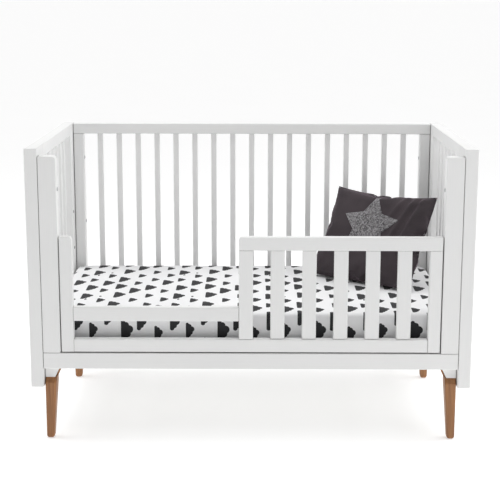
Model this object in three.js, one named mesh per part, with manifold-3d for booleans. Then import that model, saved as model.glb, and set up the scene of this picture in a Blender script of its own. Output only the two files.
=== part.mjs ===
// A convertible baby crib, set up as a toddler bed. Millimetres, +Z up, the front faces -Y.
// The origin is on the floor, under the middle of the crib.
import * as THREE from 'three';
import { mergeVertices } from 'three/addons/utils/BufferGeometryUtils.js';
import Module from 'manifold-3d';

const wasm = await Module();
wasm.setup();

// ---------- Overall sizes ----------
const interiorLength = 1330; // between the inner faces of the end panels
const interiorDepth = 702; // between the front posts and the back panel
const overallHeight = 950; // floor to the top of the end panels
const baseHeight = 239; // floor to the underside of the apron
const endPanelDrop = 61; // how far the end panels reach below the apron's underside

// ---------- Timber sections ----------
const endThickness = 41;
const stileDepth = 110; // the end panels' stiles, front to back
const endTopRailHeight = 40;
const endBottomRailHeight = 60;
const postWidth = 56;
const postDepth = 40;
const postDrop = 25; // how far the posts stop below the end panels
const apronHeight = 53;
const backDepth = 40;
const backSetback = 8; // the back panel sits this far in from the end panels' rear edges
const backStileWidth = 37;
const backTopRailHeight = 39;
const baseRailHeight = 25;
const baseRailDepth = 52;
const edgeRadius = 3;
const edgeBevel = 1.2;
const cornerRadius = 12; // the rounded inner top corners of posts and guard

// ---------- Slats ----------
const slatWidth = 20;
const slatThickness = 16;
const endSlatCount = 7;
const backSlatCount = 17;
const guardSlatCount = 5;
const guardSlatWidth = 45;
const tenonLength = 10;
const tenonShoulder = 4; // how much narrower a tenon is than its slat, on each side
const railTenonLength = 24;
const railTenonShoulder = 10;

// ---------- Guard rail ----------
const guardThickness = 24;
const guardSetback = 2;
const guardGap = 3; // clearance round the guard
const guardHeight = 376;
const guardUprightWidth = 40;
const guardMiddleWidth = 45;
const guardBottomRailHeight = 43;
const guardLowRailHeight = 46;
const guardTopRailHeight = 43;
const guardStepIn = 527; // the low way in, between the left and middle uprights
const guardLowRailLift = 59; // the open strip between the bottom rail and the low rail

// ---------- Legs ----------
const legInset = 2; // from the end panel's inner face
const legSetback = 12; // from the front of the crib
const legTopWidth = 37;
const legTopDepth = 50;
const legFootWidth = 25;
const legFootDepth = 28;
const legRadius = 5;
const footRounding = 9;
const legBlockHeight = 35;
const legHeadWidth = 54; // of the leg, where it meets the apron's underside
const legBlockDepth = 18; // front to back
const legBlockReveal = 6; // how much of the leg shows beside the block's slanted side
const legBlockShoulder = 12; // how far the block stands back from the leg's face
const legShoulderHeight = 16; // the chamfer on the leg, up to its block
const legHeadOverlap = 1; // how far the head is sunk into the shaft that it is one with
const rearLegInset = 128; // from the crib's rear edge to the rear legs' back faces

// ---------- Mattress and its support ----------
const supportClearance = 3; // between the lowered brackets and the rear base rail
const supportThickness = 18;
const supportBarWidth = 40;
const supportSlatCount = 8;
const supportSlatWidth = 50;
const supportSlatThickness = 8;
const supportEndGap = 10;
const supportSideGap = 4;
const bracketThickness = 3;
const bracketWidth = 40;
const bracketFlange = 44;
const bracketHoleMargin = 17; // from a bracket's hole up to its top edge
const bracketInset = 32; // hole line, in from the interior's front and back
const settingHoleRadius = 4;
const settingHoleDepth = 22;
const settingHoleLift = 78; // lowest hole, above the support frame's underside
const settingPitch = 137;
const settingCount = 3;
const mattressEndGap = 11; // between the mattress and each end panel
const mattressSideGap = 6; // between the mattress and the posts, and the back panel
const mattressThickness = 126;
const mattressCorner = 35;
const mattressEdge = 14;
const sheetThickness = 1.2;

// ---------- Cushion ----------
const cushionWidth = 410;
const cushionHeight = 355; // less than its width, because it slumps
const cushionThickness = 120;
const cushionTurn = -0.658; // about the vertical, radians
const cushionLean = 0.54; // backwards, radians
const cushionEndGap = 13; // between the cushion and the right end panel
const cushionBackGap = 32; // between the cushion and the back panel
const cushionPull = 0.06; // the share by which its sides draw in between the corners
const cushionFullness = 0.4; // exponent of the crown: the lower, the fuller
const cushionSteps = 12; // facets along each side

// ---------- Clearances ----------
const panelGap = 1; // between panels that are bolted together
const fitGap = 0.3; // round tenons and between touching pieces

// ---------- Derived places ----------
const halfInterior = interiorLength / 2;
const halfLength = halfInterior + endThickness;
const overallDepth = postDepth + interiorDepth + backDepth + backSetback;
const frontY = -overallDepth / 2;
const backY = overallDepth / 2;
const insideFrontY = frontY + postDepth;
const insideBackY = insideFrontY + interiorDepth;
const endPanelBottom = baseHeight - endPanelDrop;
const apronTop = baseHeight + apronHeight;
// The support frame's underside at its lowest setting is just clear of the rear base rail.
const supportLowest = baseHeight + baseRailHeight + bracketThickness + supportClearance;
const mattressLength = interiorLength - 2 * mattressEndGap;
const mattressDepth = interiorDepth - 2 * mattressSideGap;
const mattressBase = supportLowest + supportThickness + fitGap;
const mattressTop = mattressBase + mattressThickness;
const sheetTop = mattressTop + fitGap + sheetThickness;

// ---------- Materials ----------
const paint = new THREE.MeshStandardMaterial({ color: 0xf1f0ee, roughness: 0.45, metalness: 0 });
const wood = new THREE.MeshStandardMaterial({ color: 0xa96f3d, roughness: 0.5, metalness: 0 });
const steel = new THREE.MeshStandardMaterial({ color: 0xb9babb, roughness: 0.4, metalness: 0.9 });
const ticking = new THREE.MeshStandardMaterial({ color: 0xe9e7e2, roughness: 0.9, metalness: 0 });
const cotton = new THREE.MeshStandardMaterial({ color: 0xf4f3f1, roughness: 0.9, metalness: 0 });
const cushionCloth = new THREE.MeshStandardMaterial({ color: 0x423b40, roughness: 0.9, metalness: 0 });

const crib = new THREE.Group();

// ---------- Booleans ----------
function toSolid(geometry) {
  const bare = geometry.clone();
  bare.deleteAttribute('normal');
  bare.deleteAttribute('uv');
  const merged = mergeVertices(bare, 1e-4);
  const vertProperties = new Float32Array(merged.getAttribute('position').array);
  const triVerts = new Uint32Array(merged.getIndex().array);
  return new wasm.Manifold(new wasm.Mesh({ numProp: 3, vertProperties, triVerts }));
}

function toGeometry(solid) {
  const mesh = solid.getMesh();
  const geometry = new THREE.BufferGeometry();
  geometry.setAttribute('position', new THREE.Float32BufferAttribute(mesh.vertProperties, 3));
  geometry.setIndex([...mesh.triVerts]);
  geometry.computeVertexNormals();
  return geometry;
}

function join(first, ...others) {
  return toGeometry(others.reduce((whole, piece) => whole.add(toSolid(piece)), toSolid(first)));
}

function cut(first, ...tools) {
  return toGeometry(tools.reduce((whole, tool) => whole.subtract(toSolid(tool)), toSolid(first)));
}

// ---------- Shapes ----------
// A plain box between two corners.
function block(low, high) {
  const size = high.map((value, i) => value - low[i]);
  const geometry = new THREE.BoxGeometry(...size);
  geometry.translate(...high.map((value, i) => (value + low[i]) / 2));
  return geometry;
}

// A rectangle with its corners rounded, centred on the origin; radii run anticlockwise from the
// corner at +x, +y.
function roundedRectangle(width, height, radii) {
  const [x, y] = [width / 2, height / 2];
  const [a, b, c, d] = radii;
  const shape = new THREE.Shape();
  shape.moveTo(x, y - a);
  shape.absarc(x - a, y - a, a, 0, Math.PI / 2);
  shape.absarc(-x + b, y - b, b, Math.PI / 2, Math.PI);
  shape.absarc(-x + c, -y + c, c, Math.PI, 1.5 * Math.PI);
  shape.absarc(x - d, -y + d, d, 1.5 * Math.PI, 2 * Math.PI);
  shape.closePath();
  return shape;
}

// Extrudes an outline with its ends eased, so that the whole is `length` long and centred.
function easedExtrusion(shape, length, curveSegments = 1) {
  const geometry = new THREE.ExtrudeGeometry(shape, {
    depth: length - 2 * edgeBevel,
    curveSegments,
    bevelEnabled: true,
    bevelThickness: edgeBevel,
    bevelSize: edgeBevel,
    bevelOffset: -edgeBevel,
    bevelSegments: 1,
  });
  geometry.translate(0, 0, edgeBevel - length / 2);
  return geometry;
}

// Where an extrusion's own axes go when it runs along X, Y or Z.
const turns = {
  x: new THREE.Matrix4().makeBasis(
    new THREE.Vector3(0, 1, 0),
    new THREE.Vector3(0, 0, 1),
    new THREE.Vector3(1, 0, 0),
  ),
  y: new THREE.Matrix4().makeBasis(
    new THREE.Vector3(0, 0, 1),
    new THREE.Vector3(1, 0, 0),
    new THREE.Vector3(0, 1, 0),
  ),
  z: new THREE.Matrix4(),
};

// A length of eased timber that fills the box between two corners and runs along one axis.
function timber(low, high, along) {
  const [dx, dy, dz] = high.map((value, i) => value - low[i]);
  const [width, height, length] = { x: [dy, dz, dx], y: [dz, dx, dy], z: [dx, dy, dz] }[along];
  const radii = [edgeRadius, edgeRadius, edgeRadius, edgeRadius];
  const geometry = easedExtrusion(roundedRectangle(width, height, radii), length);
  geometry.applyMatrix4(turns[along]);
  geometry.translate(...high.map((value, i) => (value + low[i]) / 2));
  return geometry;
}

// An upright board with one top corner rounded: side 1 rounds the +X corner, side -1 the -X one.
function roundedBoard(low, high, side) {
  const [dx, dy, dz] = high.map((value, i) => value - low[i]);
  const plus = side > 0 ? cornerRadius : edgeRadius;
  const minus = side > 0 ? edgeRadius : cornerRadius;
  // The outline lies in Z and X: its +x is up, and its +y is +X.
  const radii = [plus, edgeRadius, edgeRadius, minus];
  const geometry = easedExtrusion(roundedRectangle(dz, dx, radii), dy, 3);
  geometry.applyMatrix4(turns.y);
  geometry.translate(...high.map((value, i) => (value + low[i]) / 2));
  return geometry;
}

// Skins a stack of rounded rectangles, each {z, x0, x1, y0, y1, r}, from the bottom up.
function loft(sections, arcSteps = 3) {
  const points = [];
  const ring = 4 * (arcSteps + 1);
  for (const { z, x0, x1, y0, y1, r } of sections) {
    const centres = [[x1 - r, y1 - r], [x0 + r, y1 - r], [x0 + r, y0 + r], [x1 - r, y0 + r]];
    centres.forEach(([cx, cy], quarter) => {
      for (let i = 0; i <= arcSteps; i += 1) {
        const angle = (quarter + i / arcSteps) * Math.PI / 2;
        points.push(cx + r * Math.cos(angle), cy + r * Math.sin(angle), z);
      }
    });
  }
  const faces = [];
  for (let level = 0; level < sections.length - 1; level += 1) {
    for (let i = 0; i < ring; i += 1) {
      const a = level * ring + i;
      const b = level * ring + (i + 1) % ring;
      faces.push(a, b, b + ring, a, b + ring, a + ring);
    }
  }
  const top = (sections.length - 1) * ring;
  for (let i = 1; i < ring - 1; i += 1) {
    faces.push(0, i + 1, i);
    faces.push(top, top + i, top + i + 1);
  }
  const geometry = new THREE.BufferGeometry();
  geometry.setAttribute('position', new THREE.Float32BufferAttribute(points, 3));
  geometry.setIndex(faces);
  geometry.computeVertexNormals();
  return geometry;
}

function addPiece(name, geometry, material, position = [0, 0, 0]) {
  const mesh = new THREE.Mesh(geometry, material);
  mesh.name = name;
  mesh.position.set(...position);
  crib.add(mesh);
  return mesh;
}

// An upright slat with a tenon at each end, its body standing from z = 0 to z = height.
function tenonedSlat(width, depth, height) {
  const body = timber([-width / 2, -depth / 2, fitGap], [width / 2, depth / 2, height - fitGap], 'z');
  const halfWidth = width / 2 - tenonShoulder;
  const halfDepth = depth / 2 - tenonShoulder;
  const core = block(
    [-halfWidth, -halfDepth, -tenonLength],
    [halfWidth, halfDepth, height + tenonLength],
  );
  return join(body, core);
}

// The cutter for a slat's mortise, from `z` upwards or, with direction -1, downwards.
function slatMortise(x, y, z, width, depth, direction) {
  const halfWidth = width / 2 - tenonShoulder + fitGap;
  const halfDepth = depth / 2 - tenonShoulder + fitGap;
  const reach = direction * (tenonLength + 2 * fitGap);
  const mouth = -direction;
  return block(
    [x - halfWidth, y - halfDepth, Math.min(z + mouth, z + reach)],
    [x + halfWidth, y + halfDepth, Math.max(z + mouth, z + reach)],
  );
}

// The middles of `count` slats that share the space from `start` to `end` with equal gaps.
function slatCentres(start, end, count, width) {
  const gap = (end - start - count * width) / (count + 1);
  return Array.from({ length: count }, (_, i) => start + gap + width / 2 + i * (width + gap));
}

// ---------- End panels ----------
const settingHeights = Array.from(
  { length: settingCount },
  (_, i) => supportLowest + settingHoleLift + i * settingPitch,
);
const settingLines = [insideFrontY + bracketInset, insideBackY - bracketInset];

// A drilling along X, as a cutter or to place a bracket's hole.
function drilling(x0, x1, y, z) {
  const geometry = new THREE.CylinderGeometry(settingHoleRadius, settingHoleRadius, x1 - x0, 12);
  geometry.rotateZ(Math.PI / 2);
  geometry.translate((x0 + x1) / 2, y, z);
  return geometry;
}

// A rail's stub tenon at one end, or with `grow` its mortise.
function railTenon(x0, x1, yStart, direction, z0, z1, grow) {
  const inset = railTenonShoulder - grow;
  const tip = yStart + direction * (railTenonLength + grow);
  const root = yStart - direction;
  return block(
    [x0 + inset, Math.min(root, tip), z0 + inset],
    [x1 - inset, Math.max(root, tip), z1 - inset],
  );
}

function buildEndPanel(label, side) {
  const inner = side * halfInterior;
  const outer = side * halfLength;
  const [x0, x1] = [Math.min(inner, outer), Math.max(inner, outer)];
  const railStart = frontY + stileDepth;
  const railEnd = backY - stileDepth;
  const rails = [
    [endPanelBottom, endPanelBottom + endBottomRailHeight],
    [overallHeight - endTopRailHeight, overallHeight],
  ];
  const stiles = [
    { name: 'front_stile', y0: frontY, y1: railStart, edge: railStart, into: -1, line: settingLines[0] },
    { name: 'rear_stile', y0: railEnd, y1: backY, edge: railEnd, into: 1, line: settingLines[1] },
  ];
  for (const stile of stiles) {
    const body = timber([x0, stile.y0, endPanelBottom], [x1, stile.y1, overallHeight], 'z');
    const mortises = rails.map(([z0, z1]) =>
      railTenon(x0, x1, stile.edge, stile.into, z0, z1, fitGap));
    const mouth = inner - side;
    const bottom = inner + side * settingHoleDepth;
    const holes = settingHeights.map((z) =>
      drilling(Math.min(mouth, bottom), Math.max(mouth, bottom), stile.line, z));
    addPiece(`${label}_${stile.name}`, cut(body, ...mortises, ...holes), paint);
  }

  // The rails and slats of one end are glued up as a single grille.
  const pieces = [];
  for (const [z0, z1] of rails) {
    pieces.push(timber([x0, railStart + fitGap, z0], [x1, railEnd - fitGap, z1], 'y'));
    pieces.push(railTenon(x0, x1, railStart + fitGap, -1, z0, z1, 0));
    pieces.push(railTenon(x0, x1, railEnd - fitGap, 1, z0, z1, 0));
  }
  const middle = (x0 + x1) / 2;
  const [slatBottom, slatTop] = [rails[0][1], rails[1][0]];
  for (const y of slatCentres(railStart, railEnd, endSlatCount, slatWidth)) {
    pieces.push(timber(
      [middle - slatThickness / 2, y - slatWidth / 2, slatBottom - tenonLength],
      [middle + slatThickness / 2, y + slatWidth / 2, slatTop + tenonLength],
      'z',
    ));
  }
  addPiece(`${label}_end_grille`, join(...pieces), paint);
}

buildEndPanel('left', -1);
buildEndPanel('right', 1);

// ---------- Back panel ----------
const panelEnd = halfInterior - panelGap;
const backRails = { bottom: [baseHeight, apronTop], top: [overallHeight - backTopRailHeight, overallHeight] };
const backRailStart = -panelEnd + backStileWidth;
const backMiddleY = insideBackY + backDepth / 2;
const backSlatXs = slatCentres(backRailStart, -backRailStart, backSlatCount, slatWidth);
const backSlatBottom = backRails.bottom[1];
const backSlatTop = backRails.top[0];

for (const [label, side] of [['left', -1], ['right', 1]]) {
  const [a, b] = [side * panelEnd, side * (panelEnd - backStileWidth)];
  addPiece(`back_${label}_stile`, timber(
    [Math.min(a, b), insideBackY, baseHeight],
    [Math.max(a, b), insideBackY + backDepth, backSlatTop - fitGap],
    'z',
  ), paint);
}

const backTopRail = timber(
  [-panelEnd, insideBackY, backSlatTop],
  [panelEnd, insideBackY + backDepth, overallHeight],
  'x',
);
const backBottomRail = timber(
  [backRailStart + fitGap, insideBackY, baseHeight],
  [-backRailStart - fitGap, insideBackY + backDepth, backSlatBottom],
  'x',
);
const backMortises = (z, direction) =>
  backSlatXs.map((x) => slatMortise(x, backMiddleY, z, slatWidth, slatThickness, direction));
addPiece('back_top_rail', cut(backTopRail, ...backMortises(backSlatTop, 1)), paint);
addPiece('back_bottom_rail', cut(backBottomRail, ...backMortises(backSlatBottom, -1)), paint);

const backSlat = tenonedSlat(slatWidth, slatThickness, backSlatTop - backSlatBottom);
backSlatXs.forEach((x, i) => {
  const number = String(i + 1).padStart(2, '0');
  addPiece(`back_slat_${number}`, backSlat, paint, [x, backMiddleY, backSlatBottom]);
});

// ---------- Front: posts, apron and rear base rail ----------
for (const [label, side] of [['left', -1], ['right', 1]]) {
  const [a, b] = [side * panelEnd, side * (panelEnd - postWidth)];
  addPiece(`${label}_front_post`, roundedBoard(
    [Math.min(a, b), frontY, apronTop + fitGap],
    [Math.max(a, b), insideFrontY, overallHeight - postDrop],
    -side,
  ), paint);
}
addPiece('front_apron', timber(
  [-panelEnd, frontY, baseHeight],
  [panelEnd, insideFrontY, apronTop],
  'x',
), paint);

const rearLegBackY = backY - rearLegInset;
addPiece('rear_base_rail', timber(
  [-panelEnd, rearLegBackY - baseRailDepth, baseHeight],
  [panelEnd, rearLegBackY, baseHeight + baseRailHeight],
  'x',
), paint);

// ---------- Guard rail ----------
const guardEnd = panelEnd - postWidth - guardGap;
const guardFrontY = frontY + guardSetback;
const guardBackY = guardFrontY + guardThickness;
const guardMiddleY = (guardFrontY + guardBackY) / 2;
const guardBottom = apronTop + guardGap;
const guardTop = guardBottom + guardHeight;
const guardRailTop = guardBottom + guardBottomRailHeight;
const guardTopRailBottom = guardTop - guardTopRailHeight;
const guardLeftInner = -guardEnd + guardUprightWidth;
const guardMiddleLeft = guardLeftInner + guardStepIn;
const guardMiddleRight = guardMiddleLeft + guardMiddleWidth;
const guardRightInner = guardEnd - guardUprightWidth;
const guardSlatXs = slatCentres(guardMiddleRight, guardRightInner, guardSlatCount, guardSlatWidth);

addPiece('guard_left_upright', roundedBoard(
  [-guardEnd, guardFrontY, guardBottom],
  [guardLeftInner, guardBackY, guardTop],
  1,
), paint);
addPiece('guard_right_upright', timber(
  [guardRightInner, guardFrontY, guardBottom],
  [guardEnd, guardBackY, guardTopRailBottom - fitGap],
  'z',
), paint);
addPiece('guard_middle_upright', timber(
  [guardMiddleLeft, guardFrontY, guardRailTop + fitGap],
  [guardMiddleRight, guardBackY, guardTopRailBottom - fitGap],
  'z',
), paint);

const guardMortises = (z, direction) => guardSlatXs.map((x) =>
  slatMortise(x, guardMiddleY, z, guardSlatWidth, slatThickness, direction));
const guardBottomRail = timber(
  [guardLeftInner + fitGap, guardFrontY, guardBottom],
  [guardRightInner - fitGap, guardBackY, guardRailTop],
  'x',
);
const guardTopRail = roundedBoard(
  [guardMiddleLeft, guardFrontY, guardTopRailBottom],
  [guardEnd, guardBackY, guardTop],
  -1,
);
addPiece('guard_bottom_rail', cut(guardBottomRail, ...guardMortises(guardRailTop, -1)), paint);
addPiece('guard_top_rail', cut(guardTopRail, ...guardMortises(guardTopRailBottom, 1)), paint);
addPiece('guard_low_rail', timber(
  [guardLeftInner + fitGap, guardFrontY, guardRailTop + guardLowRailLift],
  [guardMiddleLeft - fitGap, guardBackY, guardRailTop + guardLowRailLift + guardLowRailHeight],
  'x',
), paint);

const guardSlat = tenonedSlat(guardSlatWidth, slatThickness, guardTopRailBottom - guardRailTop);
guardSlatXs.forEach((x, i) => {
  addPiece(`guard_slat_${i + 1}`, guardSlat, paint, [x, guardMiddleY, guardRailTop]);
});

// ---------- Legs ----------
// Each leg's outer side and its front (or, on a rear leg, its back) are upright, and the other
// two faces taper in to the foot. Sizes are given from the leg's outer corner inwards.
const blockBottom = baseHeight - legBlockHeight;
const legTop = blockBottom - fitGap;
const legOuter = halfInterior - legInset;

// A slab's outline between leg and apron, with a slanted inner side drawn back by `reveal`.
function legSlab(side, reveal, bottom) {
  return new THREE.Shape([
    new THREE.Vector2(side * legOuter, baseHeight - fitGap),
    new THREE.Vector2(side * legOuter, bottom),
    new THREE.Vector2(side * (legOuter - legTopWidth + reveal), bottom),
    new THREE.Vector2(side * (legOuter - legHeadWidth + reveal), baseHeight - fitGap),
  ]);
}

// Extrudes an outline in X and Z between two depths.
function extrudedAlongY(outline, yStart, yEnd) {
  const depth = Math.abs(yEnd - yStart);
  const geometry = new THREE.ExtrudeGeometry(outline, { depth, bevelEnabled: false });
  geometry.rotateX(Math.PI / 2);
  geometry.translate(0, Math.max(yStart, yEnd), 0);
  return geometry;
}

function buildLeg(label, side, facing, faceY) {
  const section = (z, width, depth, inset, rounding) => {
    const xs = [side * (legOuter - rounding), side * (legOuter - width + rounding)];
    const ys = [faceY + facing * (inset + rounding), faceY + facing * (depth - rounding)];
    return {
      z,
      x0: Math.min(...xs),
      x1: Math.max(...xs),
      y0: Math.min(...ys),
      y1: Math.max(...ys),
      r: legRadius * (1 - rounding / (2 * footRounding)),
    };
  };
  const shoulderZ = legTop - legShoulderHeight;
  const widthAt = (z) => legFootWidth + (legTopWidth - legFootWidth) * z / shoulderZ;
  const depthAt = (z) => legFootDepth + (legTopDepth - legFootDepth) * z / shoulderZ;
  const sections = [];
  for (const angle of [0, Math.PI / 6, Math.PI / 3, Math.PI / 2]) {
    const z = footRounding * (1 - Math.cos(angle));
    const rounding = footRounding * (1 - Math.sin(angle));
    sections.push(section(z, widthAt(z), depthAt(z), 0, rounding));
  }
  sections.push(section(shoulderZ, legTopWidth, legTopDepth, 0, 0));
  sections.push(section(legTop, legTopWidth, legTopDepth, legBlockShoulder, 0));

  // Behind the block the leg runs on up to the apron, and its inner side slants outwards.
  const head = legSlab(side, 0, legTop - legHeadOverlap);
  const headFaceY = faceY + facing * (legBlockShoulder + legBlockDepth + fitGap);
  const headBackY = faceY + facing * legTopDepth;
  const shaft = loft(sections);
  addPiece(`${label}_leg`, join(shaft, extrudedAlongY(head, headFaceY, headBackY)), wood);

  // The painted block stands in front of the head and leaves a strip of wood beside it.
  const blockFaceY = faceY + facing * legBlockShoulder;
  const blockBackY = blockFaceY + facing * legBlockDepth;
  const cover = legSlab(side, legBlockReveal, blockBottom);
  addPiece(`${label}_leg_block`, extrudedAlongY(cover, blockFaceY, blockBackY), paint);
}

buildLeg('front_left', -1, 1, frontY + legSetback);
buildLeg('front_right', 1, 1, frontY + legSetback);
buildLeg('rear_left', -1, -1, rearLegBackY);
buildLeg('rear_right', 1, -1, rearLegBackY);

// ---------- Mattress support ----------
const supportX = halfInterior - supportEndGap;
const supportY0 = insideFrontY + supportSideGap;
const supportY1 = insideBackY - supportSideGap;
const supportTop = supportLowest + supportThickness;
const supportPieces = [
  block([-supportX, supportY0, supportLowest], [supportX, supportY0 + supportBarWidth, supportTop]),
  block([-supportX, supportY1 - supportBarWidth, supportLowest], [supportX, supportY1, supportTop]),
  block([-supportX, supportY0, supportLowest], [supportBarWidth - supportX, supportY1, supportTop]),
  block([supportX - supportBarWidth, supportY0, supportLowest], [supportX, supportY1, supportTop]),
];
const crossRange = supportX - supportBarWidth;
for (const x of slatCentres(-crossRange, crossRange, supportSlatCount, supportSlatWidth)) {
  supportPieces.push(block(
    [x - supportSlatWidth / 2, supportY0 + 1, supportTop - supportSlatThickness],
    [x + supportSlatWidth / 2, supportY1 - 1, supportTop],
  ));
}
addPiece('mattress_support_frame', join(...supportPieces), paint);

// Corner brackets: an upright leaf against the stile and a flange under the frame.
function buildBracket(label, side, y) {
  const leafOuter = halfInterior - 2 * fitGap;
  const bottom = supportLowest - fitGap - bracketThickness;
  const slab = (xs, z0, z1) => block(
    [Math.min(...xs), y - bracketWidth / 2, z0],
    [Math.max(...xs), y + bracketWidth / 2, z1],
  );
  const outer = side * leafOuter;
  const leafTop = settingHeights[0] + bracketHoleMargin;
  const leaf = slab([outer, outer - side * bracketThickness], bottom, leafTop);
  const flange = slab([outer, outer - side * bracketFlange], bottom, bottom + bracketThickness);
  const holeXs = [outer + side, outer - side * (bracketThickness + 1)];
  const hole = drilling(Math.min(...holeXs), Math.max(...holeXs), y, settingHeights[0]);
  addPiece(`${label}_support_bracket`, cut(join(leaf, flange), hole), steel);
}

buildBracket('front_left', -1, settingLines[0]);
buildBracket('front_right', 1, settingLines[0]);
buildBracket('rear_left', -1, settingLines[1]);
buildBracket('rear_right', 1, settingLines[1]);

// ---------- Mattress and fitted sheet ----------
// A slab with round corners in plan and soft edges, `grow` larger than the mattress all round.
function mattressSlab(grow) {
  const corner = mattressCorner + grow;
  const outline = roundedRectangle(
    mattressLength + 2 * grow,
    mattressDepth + 2 * grow,
    [corner, corner, corner, corner],
  );
  const geometry = new THREE.ExtrudeGeometry(outline, {
    depth: mattressThickness + 2 * grow - 2 * mattressEdge,
    curveSegments: 4,
    bevelEnabled: true,
    bevelThickness: mattressEdge,
    bevelSize: mattressEdge,
    bevelOffset: -mattressEdge,
    bevelSegments: 3,
  });
  geometry.translate(0, (insideFrontY + insideBackY) / 2, mattressBase - grow + mattressEdge);
  return geometry;
}
addPiece('mattress', mattressSlab(0), ticking);
const underMattress = block(
  [-halfInterior, insideFrontY, 0],
  [halfInterior, insideBackY, mattressBase + mattressEdge],
);
const sheetSkin = cut(mattressSlab(fitGap + sheetThickness), mattressSlab(fitGap), underMattress);
addPiece('fitted_sheet', sheetSkin, cotton);

// ---------- Cushion ----------
// A stuffed square: thick in the middle, thin at the seam, with its sides drawn in.
function cushionGeometry() {
  const steps = cushionSteps;
  const points = [];
  const index = new Map();
  const pointAt = (i, j, face) => {
    const onSeam = i === 0 || j === 0 || i === steps || j === steps;
    const key = `${i},${j},${onSeam ? 0 : face}`;
    if (!index.has(key)) {
      const u = 2 * i / steps - 1;
      const v = 2 * j / steps - 1;
      const crown = Math.pow((1 - u * u) * (1 - v * v), cushionFullness);
      const drawnIn = (t) => 1 - cushionPull * (1 - t * t);
      index.set(key, points.length / 3);
      points.push(
        u * drawnIn(v) * cushionWidth / 2,
        (onSeam ? 0 : face * crown) * cushionThickness / 2,
        v * drawnIn(u) * cushionHeight / 2,
      );
    }
    return index.get(key);
  };
  const faces = [];
  for (const face of [-1, 1]) {
    for (let i = 0; i < steps; i += 1) {
      for (let j = 0; j < steps; j += 1) {
        const quad = [
          pointAt(i, j, face),
          pointAt(i + 1, j, face),
          pointAt(i + 1, j + 1, face),
          pointAt(i, j + 1, face),
        ];
        if (face > 0) {
          quad.reverse();
        }
        faces.push(quad[0], quad[1], quad[2], quad[0], quad[2], quad[3]);
      }
    }
  }
  const geometry = new THREE.BufferGeometry();
  geometry.setAttribute('position', new THREE.Float32BufferAttribute(points, 3));
  geometry.setIndex(faces);
  return geometry;
}

// It is leant back and turned to face into the crib, then set down on the sheet.
function placedCushion() {
  const geometry = cushionGeometry();
  geometry.rotateX(-cushionLean);
  geometry.rotateZ(cushionTurn);
  geometry.computeBoundingBox();
  geometry.translate(
    halfInterior - cushionEndGap - geometry.boundingBox.max.x,
    insideBackY - cushionBackGap - geometry.boundingBox.max.y,
    sheetTop + fitGap - geometry.boundingBox.min.z,
  );
  geometry.computeVertexNormals();
  return geometry;
}
addPiece('scatter_cushion', placedCushion(), cushionCloth);

export default crib;
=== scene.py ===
import math

import bpy
import numpy as np
from mathutils import Matrix, Vector, noise
from mathutils.bvhtree import BVHTree


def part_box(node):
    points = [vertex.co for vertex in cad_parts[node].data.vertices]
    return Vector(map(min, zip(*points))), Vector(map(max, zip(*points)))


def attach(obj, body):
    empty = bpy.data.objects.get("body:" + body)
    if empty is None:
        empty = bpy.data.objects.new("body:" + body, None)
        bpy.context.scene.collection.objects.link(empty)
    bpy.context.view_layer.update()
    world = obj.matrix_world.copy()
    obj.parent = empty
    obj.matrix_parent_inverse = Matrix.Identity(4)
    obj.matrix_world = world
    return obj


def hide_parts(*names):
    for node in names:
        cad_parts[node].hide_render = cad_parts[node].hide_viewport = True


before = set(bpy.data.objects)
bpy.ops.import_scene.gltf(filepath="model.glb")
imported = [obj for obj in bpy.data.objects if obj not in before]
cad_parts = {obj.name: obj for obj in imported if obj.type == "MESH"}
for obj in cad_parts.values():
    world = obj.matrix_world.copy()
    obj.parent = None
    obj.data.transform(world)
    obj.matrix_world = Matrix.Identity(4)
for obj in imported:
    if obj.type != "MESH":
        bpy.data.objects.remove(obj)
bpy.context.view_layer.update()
scene = bpy.context.scene
scene.view_settings.view_transform = "Standard"


# ---------- Camera ----------
CAMERA_LENS, CAMERA_SHIFT = 84.7, (0.0009, -0.06)  # lens in mm on a 36 mm sensor
CAMERA_PLACE = (0.0106, -4.011, 1.416)
CAMERA_ANGLES = (10.79, -0.237, 0.11)  # pitch down, yaw and roll, in degrees
SIGHT_LIMIT = 1500  # past the far edge of the floor


def add_camera():
    data = bpy.data.cameras.new("camera")
    data.lens, data.sensor_width = CAMERA_LENS, 36
    data.shift_x, data.shift_y = CAMERA_SHIFT
    data.clip_end = SIGHT_LIMIT
    camera = bpy.data.objects.new("camera", data)
    pitch, yaw, roll = (math.radians(a) for a in CAMERA_ANGLES)
    forward = Vector((math.sin(yaw) * math.cos(pitch), math.cos(yaw) * math.cos(pitch), -math.sin(pitch)))
    level = Vector((math.cos(yaw), -math.sin(yaw), 0))
    right = level * math.cos(roll) + level.cross(forward) * math.sin(roll)
    turn = Matrix((right, right.cross(forward), -forward)).transposed().to_4x4()
    camera.matrix_world = Matrix.Translation(CAMERA_PLACE) @ turn
    scene.collection.objects.link(camera)
    scene.camera = camera


add_camera()


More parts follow.
